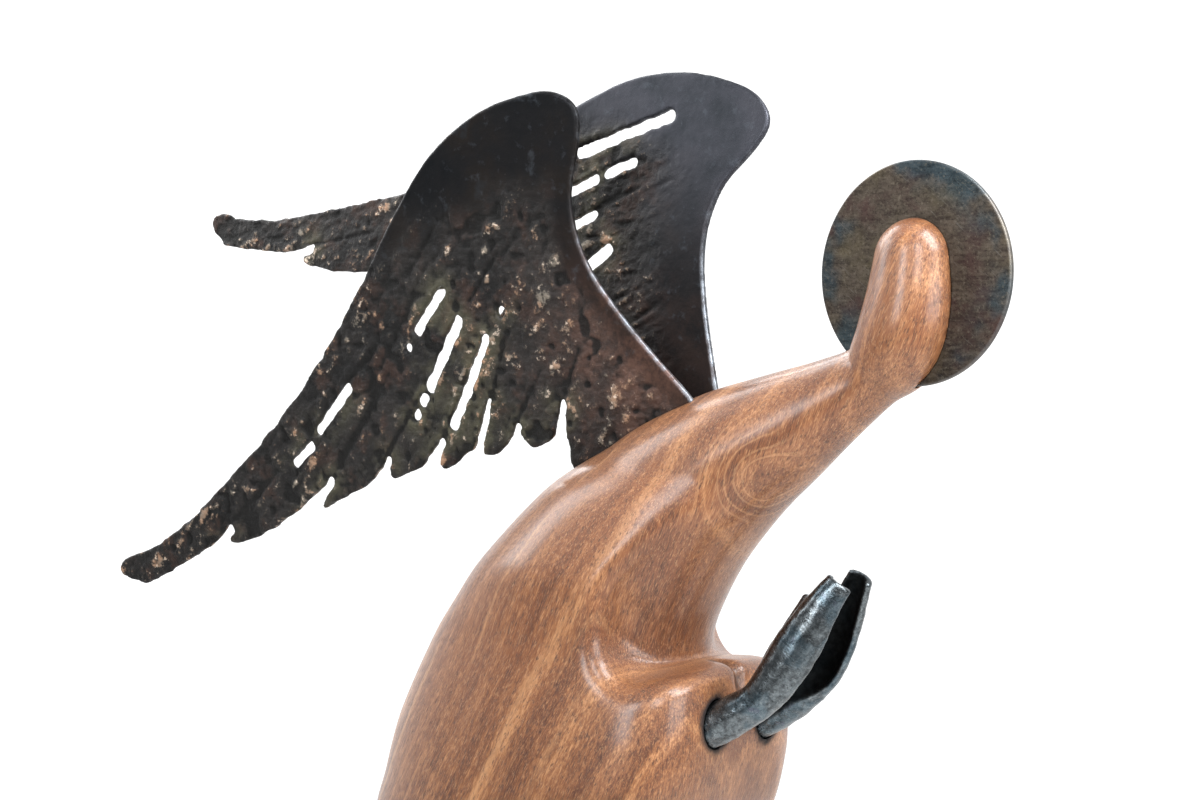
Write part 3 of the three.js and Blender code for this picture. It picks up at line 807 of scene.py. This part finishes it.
def hand_form(hand):
    """Two distances for a hand: to its whole form, and to the hollow of its palm."""
    middle, wide, thick, forward, across, upright = hand_rows(hand, 24)
    last = len(middle) - 1
    spans = len(hand["stations"]) - 1
    palm_way = -hand["side"]

    def rod(p, start, end):
        """A tapered rod laid on the hand, from one place to another.

        A place is a station, a height up the hand, a height off its palm and a radius.
        """
        def spot(place):
            i = int(place[0] / spans * last)
            return middle[i] + upright[i] * place[1] + across[i] * palm_way * place[2]
        away, share = span_distance(p, spot(start), spot(end))
        return away - (start[3] + (end[3] - start[3]) * share)

    def distances(p):
        p = np.asarray(p, float)
        nearest = nearest_of(last + 1, lambda i: ((p - middle[i]) ** 2).sum(1))[0]
        off = p - middle[nearest]
        b = (off * upright[nearest]).sum(1)
        q = (off * across[nearest]).sum(1) * palm_way
        beyond = (off * forward[nearest]).sum(1)
        in_palm = smooth_step(nearest / last * spans, *PALM["stations"])
        w = wide[nearest] * (1 - PALM["narrower"] * in_palm * smooth_step(b, 0, 4))
        t = thick[nearest]
        palm = t * (1 - PALM["thinner"] * in_palm)
        body = np.sqrt((b / w) ** 2 + (q / np.where(q > 0, palm, t)) ** 2) - 1
        body = body * np.minimum(w, np.where(q > 0, palm, t))
        hollow_wide, hollow_deep = np.maximum(w - PALM["rim"], 1), t * 1.02
        sunk_shade = q - palm * 1.1 - 6 * (1 - in_palm)
        hollow = np.sqrt((b / hollow_wide) ** 2 + (sunk_shade / hollow_deep) ** 2) - 1
        hollow = hollow * np.minimum(hollow_wide, hollow_deep)
        heel = rod(p, *THUMB[:2])
        thumb = soft_min(heel, rod(p, *THUMB[1:]), 0.8)
        body = soft_max(body, -hollow, 0.9)
        body = soft_min(body, thumb, 1.1)
        body = body + lumps_together(*p.T, HAMMERED)
        ends = np.maximum(np.where(nearest == last, beyond, -9), np.where(nearest == 0, -beyond, -9))
        return soft_max(body, ends, 0.5), hollow

    return distances


def forge_hand(name, hand, finish):
    stations = np.array(hand["stations"])
    low = stations[:, :3].min(0) - HAND_MARGIN
    high = stations[:, :3].max(0) + HAND_MARGIN
    xs, ys, zs = (steps(low[k], high[k], HAND_STEP) for k in range(3))
    distances = hand_form(hand)
    values = distance_in_slabs(lambda p: distances(p)[0], xs, ys, zs)
    points, quads = skin_over(values, xs, ys, zs)
    piece = piece_from(name, points, quads, finish)
    # The palm's hollow is darkened, a painted shade.
    note(piece, "soot", 1 - smooth_step(distances(points)[1], 0.2, 1.1))
    return piece


def wrist_hole(hand):
    """A cutter for the hole that a hand's wrist is let into."""
    sides = 32
    middle, wide, thick, forward, across, upright = hand_rows(hand, WRIST_DIVISIONS)
    spare = 2 * GAP
    rings = []
    angle = 2 * math.pi * np.arange(sides) / sides
    for i in range(HOLE_SECTIONS):
        centre = middle[i] - forward[i] * (spare if i == 0 else 0)
        ring = centre + np.outer(np.sin(angle), across[i]) * (thick[i] + spare)
        rings.append(ring - np.outer(np.cos(angle), upright[i]) * (wide[i] + spare))
    return piece_from("hole_cutter", np.concatenate(rings), stacked_faces(len(rings), sides))


def cut_from(piece, cutters):
    """Cuts each cutter out of the piece and clears the cutters away."""
    for cutter in cutters:
        cut = piece.modifiers.new("cut", "BOOLEAN")
        cut.operation = "DIFFERENCE"
        cut.solver = "MANIFOLD"
        cut.object = cutter
    bpy.context.view_layer.update()
    finished = bpy.data.meshes.new_from_object(piece.evaluated_get(bpy.context.evaluated_depsgraph_get()))
    piece.modifiers.clear()
    piece.data = finished
    for cutter in cutters:
        bpy.data.objects.remove(cutter)


# Finishes

def srgb(red, green, blue):
    """A colour as the eye names it, from 0 to 255, turned into the light it gives."""
    light = [((c / 255 + 0.055) / 1.055) ** 2.4 if c > 10 else c / 3294.6 for c in (red, green, blue)]
    return (*light, 1)


class Flow:
    """What flows out of a node in a finish. Sums of values are written as plain expressions."""

    def __init__(self, finish, socket):
        self.finish = finish
        self.socket = socket

    def sum_of(self, operation, first, second):
        return self.finish.node("Math", {"operation": operation}, {0: first, 1: second})

    def __add__(self, other):
        return self.sum_of("ADD", self, other)

    def __radd__(self, other):
        return self.sum_of("ADD", other, self)

    def __sub__(self, other):
        return self.sum_of("SUBTRACT", self, other)

    def __rsub__(self, other):
        return self.sum_of("SUBTRACT", other, self)

    def __mul__(self, other):
        return self.sum_of("MULTIPLY", self, other)

    def __rmul__(self, other):
        return self.sum_of("MULTIPLY", other, self)


class Nodes:
    """A tree of nodes, for a finish or for the studio's surroundings."""

    def __init__(self, tree):
        self.tree = tree

    def feed(self, node, values):
        for key, value in values.items():
            socket = node.inputs[key]
            if isinstance(value, Flow):
                self.tree.links.new(value.socket, socket)
            else:
                socket.default_value = value

    def node(self, kind, settings=None, inputs=None, output=0):
        made = self.tree.nodes.new("ShaderNode" + kind)
        for key, value in (settings or {}).items():
            if key == "stops":
                set_stops(made.color_ramp, value)
            else:
                setattr(made, key, value)
        self.feed(made, inputs or {})
        return Flow(self, made.outputs[output])

    def between(self, value, low, high, start=0, end=1):
        settings = {"interpolation_type": "SMOOTHSTEP"}
        return self.node("MapRange", settings, {0: value, 1: low, 2: high, 3: start, 4: end})

    def mix(self, share, first, second, blend="MIX"):
        settings = {"data_type": "RGBA", "blend_type": blend}
        return self.node("Mix", settings, {0: share, 6: first, 7: second}, 2)

    def ramp(self, value, stops):
        return self.node("ValToRGB", {"stops": stops}, {"Fac": value})


class Finish(Nodes):
    """A finish built from nodes round one shader."""

    def __init__(self, name, **constants):
        self.material = bpy.data.materials.new(name)
        self.material.use_nodes = True
        super().__init__(self.material.node_tree)
        self.shader = self.tree.nodes["Principled BSDF"]
        self.feed(self.shader, constants)

    def place(self):
        return self.node("TexCoord", output="Object")

    def laid(self, vector, location, turn, size):
        """Places measured from a spot, along axes turned by some angles, in steps of some size."""
        sockets = {"Vector": vector, "Location": location, "Rotation": turn, "Scale": size}
        return self.node("Mapping", {"vector_type": "TEXTURE"}, sockets)

    def noise(self, vector, scale, detail=3, roughness=0.5):
        sockets = {"Vector": vector, "Scale": scale, "Detail": detail, "Roughness": roughness}
        return self.node("TexNoise", None, sockets)

    def length(self, vector):
        return self.node("VectorMath", {"operation": "LENGTH"}, {0: vector}, "Value")

    def noted(self, name):
        return self.node("Attribute", {"attribute_name": name}, None, "Fac")

    def bump(self, height, strength, distance):
        return self.node("Bump", None, {"Height": height, "Strength": strength, "Distance": distance})

    def surface(self, **flows):
        self.feed(self.shader, flows)


def set_stops(ramp, stops):
    while len(ramp.elements) < len(stops):
        ramp.elements.new(1)
    for element, (position, colour) in zip(ramp.elements, stops):
        element.position = position
        element.color = colour


# The tree's grain leans forward with the figure. Its heart lay behind the back, so that rings show as
# long lines down the robe. They swirl round one spot on the neck's right side.
GRAIN_LEAN = math.radians(22)
HEART = (-0.11, 0.01, 0.2)
SWIRL = {"at": (0.093, -0.014, 0.344), "reach": 0.013, "strength": 15}
# Painted shade: towards the foot the wood is darkened by these shares of red, green and blue.
SHADE_BELOW = (0.74, 0.7, 0.66, 1)


def oiled_wood():
    wood = Finish("oiled_wood", **{"IOR": 1.46, "Coat Roughness": 0.22, "Coat IOR": 1.5})
    place = wood.place()

    def grain(stretch):
        return wood.laid(place, HEART, (0, GRAIN_LEAN, 0), (MM, MM, MM * stretch))

    def rings(scale, detail, roughness):
        sockets = {"W": from_heart, "Scale": scale, "Detail": detail, "Roughness": roughness}
        return wood.node("TexNoise", {"noise_dimensions": "1D"}, sockets)

    slow = grain(4)
    outwards = wood.node("VectorMath", {"operation": "MULTIPLY"}, {0: slow, 1: (1, 1, 0)})
    radius = wood.length(outwards)
    away = wood.length(wood.laid(place, SWIRL["at"], (0, 0, 0), (SWIRL["reach"],) * 3))
    swirl = wood.between(away, 0, 1.7, SWIRL["strength"], 0)
    from_heart = radius + wood.noise(slow, 0.03, 3, 0.5) * 14 + swirl

    years = rings(0.11, 5, 0.68)
    forward = wood.node("SeparateXYZ", None, {0: place}, "X")
    on_robe = wood.between(forward, 0.03, 0.075, 1, 0.12)
    fading = wood.between(wood.noise(grain(12), 0.06, 2, 0.5), 0.42, 0.6)
    pale_lines = wood.between(rings(0.2, 2, 0.5), 0.59, 0.68) * fading * on_robe
    fibres = wood.noise(grain(16), 0.8, 4, 0.68)
    hairs = wood.noise(grain(9), 1.9, 3, 0.7)
    pores = wood.between(wood.noise(grain(6), 1.8, 3, 0.65), 0.54, 0.66)
    flecks = wood.between(wood.noise(grain(10), 3, 3, 0.65), 0.52, 0.68)
    regions = wood.noise(place, 17, 3, 0.55)

    bands = wood.ramp(years * 0.36 + fibres * 0.28 + hairs * 0.36, [
        (0.38, srgb(68, 37, 20)),
        (0.46, srgb(103, 61, 35)),
        (0.53, srgb(132, 86, 52)),
        (0.62, srgb(174, 126, 85)),
    ])
    up = wood.node("SeparateXYZ", None, {0: place}, "Z")
    darker = wood.between(regions, 0.4, 0.66, 0, 0.4)
    toned = wood.mix(darker, bands, srgb(108, 62, 34))
    swirled = wood.between(rings(0.42, 1, 0.5), 0.55, 0.63) * wood.between(away, 0.9, 1.9, 0.2, 0)
    ringed = wood.mix(swirled, toned, srgb(204, 158, 112))
    lined = wood.mix(pale_lines * 0.4, ringed, srgb(186, 142, 100))
    pored = wood.mix(pores * 0.72, lined, srgb(62, 34, 19))
    flecked = wood.mix(flecks * 0.36, pored, srgb(196, 150, 106))
    # Painted shade, darker towards the foot.
    shaded_below = wood.mix(wood.between(up, 0.2, 0.34, 0.9, 0), flecked, SHADE_BELOW, "MULTIPLY")
    charred = wood.noted("charred")
    # Char round the wrists with painted shade in it, and painted shade down the parting of the sleeves.
    colour = wood.mix(charred, shaded_below, srgb(24, 17, 15))

    relief = hairs * 0.4 - pores * 0.8 + flecks * 0.2
    wood.surface(**{
        "Base Color": colour,
        "Roughness": 0.4 + fibres * 0.1 + pores * 0.14 + charred * 0.3,
        "Coat Weight": 0.5 - charred * 0.5,
        "Normal": wood.bump(relief, 0.5, 0.0003),
    })
    return wood.material


def burned_steel():
    steel = Finish("burned_steel", **{"IOR": 1.6})
    place = steel.place()
    height, rough, slag = steel.noted("height"), steel.noted("rough"), steel.noted("slag")
    filed, edge = steel.noted("filed"), steel.noted("edge")
    root_rust, bared = steel.noted("root_rust"), steel.noted("bared")
    clouds = steel.noise(place, 42, 4, 0.6)
    grit = steel.noise(place, 950, 4, 0.7)
    beads = steel.noise(place, 430, 3, 0.6)
    stains = steel.noise(place, 75, 4, 0.65)
    scuffs = steel.noise(place, 240, 4, 0.65)

    smooth_black = steel.ramp(clouds, [
        (0.3, srgb(15, 18, 22)),
        (0.48, srgb(24, 24, 26)),
        (0.62, srgb(31, 27, 25)),
        (0.74, srgb(44, 50, 56)),
    ])
    burned_black = steel.mix(steel.between(clouds, 0.3, 0.7), srgb(11, 11, 12), srgb(36, 33, 32))
    # On the far wing the smooth crown is lightened to bluish grey, a painted sheen.
    sheen_blue = steel.mix(steel.between(clouds, 0.3, 0.6), srgb(46, 50, 56), srgb(66, 68, 76))
    plate = steel.mix(rough, steel.mix(bared * 0.8, smooth_black, sheen_blue), burned_black)
    rust = steel.between(stains, 0.5, 0.66) * rough
    rusty = steel.mix(rust * 0.4, plate, srgb(70, 47, 37))
    root_stains = root_rust * steel.between(stains + grit * 0.3, 0.5, 0.8, 0.2, 0.85)
    rusted = steel.mix(root_stains, rusty, srgb(98, 71, 60))
    olive = steel.between(clouds, 0.45, 0.6) * slag * rough
    stained = steel.mix(olive * 0.6, rusted, srgb(84, 82, 64))
    crests = steel.between(height + (grit - 0.5) * 1.6, 0.2, 0.65)
    tan = steel.mix(steel.between(stains, 0.4, 0.6), srgb(132, 124, 112), srgb(168, 134, 108))
    crested = steel.mix(crests * rough * 0.8, stained, tan)
    raised = steel.between(height + (grit - 0.5) * 1.5, 0.1, 0.5)
    glints = steel.between(beads, 0.58, 0.64) * rough * raised
    glinting = steel.mix(glints * 0.75, crested, srgb(216, 198, 180))
    scuffed = steel.mix(steel.between(scuffs, 0.56, 0.74) * (1 - rough) * 0.3, glinting, srgb(82, 88, 96))
    worn = steel.mix(edge * steel.between(scuffs, 0.45, 0.7) * 0.25, scuffed, srgb(112, 116, 122))
    bright = steel.mix(filed * steel.between(scuffs, 0.35, 0.65, 0.1, 0.7), worn, srgb(132, 139, 148))
    # Pits and grooves are darkened almost to black, a painted shade in the hollows.
    sunk_shade = steel.between(height, -0.6, -0.12, 1, 0)
    steel.surface(**{
        "Base Color": steel.mix(sunk_shade * 0.9, bright, srgb(5, 5, 5)),
        "Metallic": 0.85 - rough * 0.2,
        "Roughness": 0.42 + rough * 0.04 + grit * 0.14 - filed * 0.1 - glints * 0.2,
        "Normal": steel.bump(grit * rough + scuffs * 0.3, 0.8, 0.0007),
    })
    return steel.material


def tinted_steel():
    steel = Finish("tinted_steel", **{"IOR": 2.3, "Metallic": 1.0})
    place = steel.place()
    hub = (HALO["x"] * MM, 0, HALO["z"] * MM)
    level = steel.laid(place, hub, (0, 0, 0), (0.007, 0.007, 0.0022))
    mottle = steel.noise(level, 1, 6, 0.78)
    clouds = steel.noise(place, 45, 4, 0.6)
    patches = steel.noise(place, 36, 3, 0.6)
    grit = steel.noise(place, 1000, 4, 0.72)
    radius = steel.length(steel.laid(place, hub, (0, 0, 0), (MM, MM, MM)))
    rim = steel.between(radius + (patches - 0.5) * 18, 22, 33)
    scratches = steel.laid(place, hub, (0, math.radians(-50), 0), (0.0004, 0.02, 0.008))
    brushing = steel.noise(scratches, 1, 3, 0.6)

    brown = steel.mix(steel.between(mottle, 0.25, 0.75), srgb(50, 44, 41), srgb(101, 92, 82))
    olive = steel.mix(steel.between(clouds, 0.5, 0.66, 0, 0.6), brown, srgb(96, 88, 70))
    violet = steel.mix(steel.between(clouds, 0.36, 0.5, 0.75, 0), olive, srgb(76, 58, 56))
    blue = steel.mix(steel.between(mottle, 0.25, 0.75), srgb(38, 52, 59), srgb(68, 84, 92))
    tinted = steel.mix(rim * steel.between(patches, 0.44, 0.58, 0, 0.85), violet, blue)
    speckled = steel.mix(steel.between(grit, 0.54, 0.68, 0, 0.4), tinted, srgb(126, 118, 104))
    pitted = steel.mix(steel.between(grit, 0.34, 0.46, 0.5, 0), speckled, srgb(30, 27, 25))
    lined = steel.mix(steel.between(brushing, 0.6, 0.74, 0, 0.4), pitted, srgb(123, 121, 116))
    # The rim is lightened all round, a painted highlight on its rounded edge.
    edge = steel.between(radius, HALO["radius"] - 0.7, HALO["radius"] - 0.1)
    steel.surface(**{
        "Base Color": steel.mix(edge * 0.25, lined, srgb(130, 132, 134)),
        "Roughness": 0.36 + mottle * 0.12 + grit * 0.1,
        "Normal": steel.bump(grit * 0.5 + mottle + brushing * 0.4, 0.2, 0.0004),
    })
    return steel.material


def forged_steel():
    steel = Finish("forged_steel", **{"IOR": 2.3, "Metallic": 1.0})
    place = steel.place()
    across = steel.laid(place, (0, 0, 0), (0, math.radians(38), 0), (0.0022, 0.0022, 0.0006))
    filing = steel.noise(across, 1, 3, 0.7)
    hammered = steel.noise(place, 420, 3, 0.6)
    tint = steel.noise(place, 90, 3, 0.5)
    grit = steel.noise(place, 1300, 3, 0.7)
    soot = steel.noted("soot")
    dark = steel.mix(steel.between(hammered, 0.3, 0.7), srgb(64, 68, 71), srgb(108, 115, 119))
    blue = steel.mix(steel.between(tint, 0.46, 0.6, 0, 0.45), dark, srgb(68, 90, 102))
    violet = steel.mix(steel.between(tint, 0.62, 0.72, 0, 0.5), blue, srgb(88, 74, 98))
    speckled = steel.mix(steel.between(grit, 0.54, 0.7, 0, 0.25), violet, srgb(168, 174, 176))
    pitted = steel.mix(steel.between(grit, 0.32, 0.46, 0.45, 0), speckled, srgb(22, 23, 24))
    steel.surface(**{
        # Painted shade darkens the palm's hollow.
        "Base Color": steel.mix(soot * 0.92, pitted, srgb(8, 8, 8)),
        "Roughness": 0.2 + filing * 0.1 + grit * 0.06 + soot * 0.4,
        "Normal": steel.bump(filing + grit * 0.5 + hammered * 0.6, 0.24, 0.0004),
    })
    return steel.material


# The pieces, in their places

def show(piece, node):
    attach(piece, "root")
    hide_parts(node)


def char_and_shading(points):
    """Char with painted shade round the wrists, and painted shade down the parting of the sleeves."""
    char_and_shadow = np.zeros(len(points))
    uneven = 0.8 * lumps(*points.T, 3)
    for hand in HANDS.values():
        middle, wide = hand_rows(hand, WRIST_DIVISIONS)[:2]
        for i in range(CHAR_AND_SHADE_SECTIONS):
            away = np.linalg.norm(points - middle[i], axis=1) - wide[i]
            char_and_shadow = np.maximum(char_and_shadow, 1 - smooth_step(away + uneven, *CHAR_AND_SHADE_REACH))
    # Painted shade darkens the parting between the sleeves.
    soot = hump(points[:, 1], 2.2) * smooth_step(parting_depth(*points.T), 0.05, 0.5)
    char_and_shadow = np.maximum(char_and_shadow, 0.75 * soot * (0.6 + 0.6 * lumps(*points.T, 2.5)))
    return np.clip(char_and_shadow, 0, 1)


wood_finish = oiled_wood()
wing_finish = burned_steel()
halo_finish = tinted_steel()
hand_finish = forged_steel()

figure_points, figure_quads = carve_figure()
figure = piece_from("carved_figure", figure_points, figure_quads, wood_finish)
kerf_radius, kerf_width = HALO["radius"] + KERF["deeper"], HALO["thickness"] + 2 * GAP
cutters = [halo_disc("kerf_cutter", kerf_radius, kerf_width, KERF["edge"], 0)]
cutters += [wing_slot(wing) for wing in WINGS.values()]
cutters += [wrist_hole(hand) for hand in HANDS.values()]
cut_from(figure, cutters)
figure.data.shade_smooth()
note(figure, "charred", char_and_shading(points_of(figure)))
show(figure, "figure")

for name, wing in WINGS.items():
    show(forge_wing("steel_" + name, wing, wing_finish), name)

halo_sizes = [HALO[size] for size in ("radius", "thickness", "edge", "dents")]
show(halo_disc("steel_halo", *halo_sizes, halo_finish), "halo")

for name, hand in HANDS.items():
    show(forge_hand("forged_" + name, hand, hand_finish), name)

# Floor, light and camera

FLOOR_REACH = 750
pale = Finish("pale_floor", **{"Roughness": 0.8})
pale.surface(**{"Base Color": pale.ramp(pale.noise(pale.place(), 3, 2), [
    (0.3, srgb(206, 205, 203)),
    (0.7, srgb(214, 213, 211)),
])})
floor_corners = np.array([(-1, -1, 0), (1, -1, 0), (1, 1, 0), (-1, 1, 0)]) * FLOOR_REACH
piece_from("floor", floor_corners, [(0, 1, 2, 3)], pale.material)

AIM = Vector((0.025, 0, 0.366))


def heading(azimuth, elevation):
    """The way from the statue towards a place round it, with 0 at its right side and 90 in front."""
    a, e = math.radians(azimuth), math.radians(elevation)
    return Vector((math.sin(a) * math.cos(e), -math.cos(a) * math.cos(e), math.sin(e)))


# A white backdrop behind the statue that falls off to grey round the camera's side.
CAMERA_PLACE = (36, 1.5)
BACKDROP = {"near": 0.2, "far": 1.3}
world = bpy.data.worlds.new("studio")
world.use_nodes = True
studio = Nodes(world.node_tree)
outlook = studio.node("TexCoord", output="Generated")
backdrop_way = -heading(*CAMERA_PLACE)
ahead = studio.node("VectorMath", {"operation": "DOT_PRODUCT"}, {0: outlook, 1: backdrop_way}, "Value")
studio.feed(world.node_tree.nodes["Background"], {
    "Color": (1, 1, 1, 1),
    "Strength": studio.between(ahead, -0.5, 0.75, BACKDROP["near"], BACKDROP["far"]),
})
bpy.context.scene.world = world
bpy.context.scene.view_settings.view_transform = "Standard"


def set_up(name, thing, place, away):
    """Stands a lamp or camera at a place round the statue, pointed at it."""
    back = heading(*place)
    stand = bpy.data.objects.new(name, thing)
    stand.location = AIM + back * away
    stand.rotation_euler = back.to_track_quat("Z", "Y").to_euler()
    bpy.context.scene.collection.objects.link(stand)
    return stand


# Each softbox: its place round the statue, how far away it stands, its width and height, its power.
SOFTBOXES = {
    "left_softbox": ((-70, 32), 0.9, (0.4, 0.5), 4.6),
    "side_softbox": ((2, 19), 0.9, (0.24, 0.56), 5.6),
    "near_softbox": ((42, 28), 0.8, (0.24, 0.4), 3.5),
    "right_softbox": ((92, 42), 0.5, (0.25, 0.35), 5.5),
    "low_softbox": ((84, 3), 0.7, (0.4, 0.3), 2.8),
    "back_softbox": ((-112, 38), 0.9, (0.5, 0.6), 7),
}
for name, (place, away, size, power) in SOFTBOXES.items():
    light = bpy.data.lights.new(name, "AREA")
    light.shape = "RECTANGLE"
    light.size, light.size_y = size
    light.energy = power
    set_up(name, light, place, away)

CAMERA_AWAY = 0.75
lens = bpy.data.cameras.new("camera")
lens.sensor_width = 36
lens.lens = 67.5
lens.clip_start = 0.01
bpy.context.scene.camera = set_up("camera", lens, CAMERA_PLACE, CAMERA_AWAY)
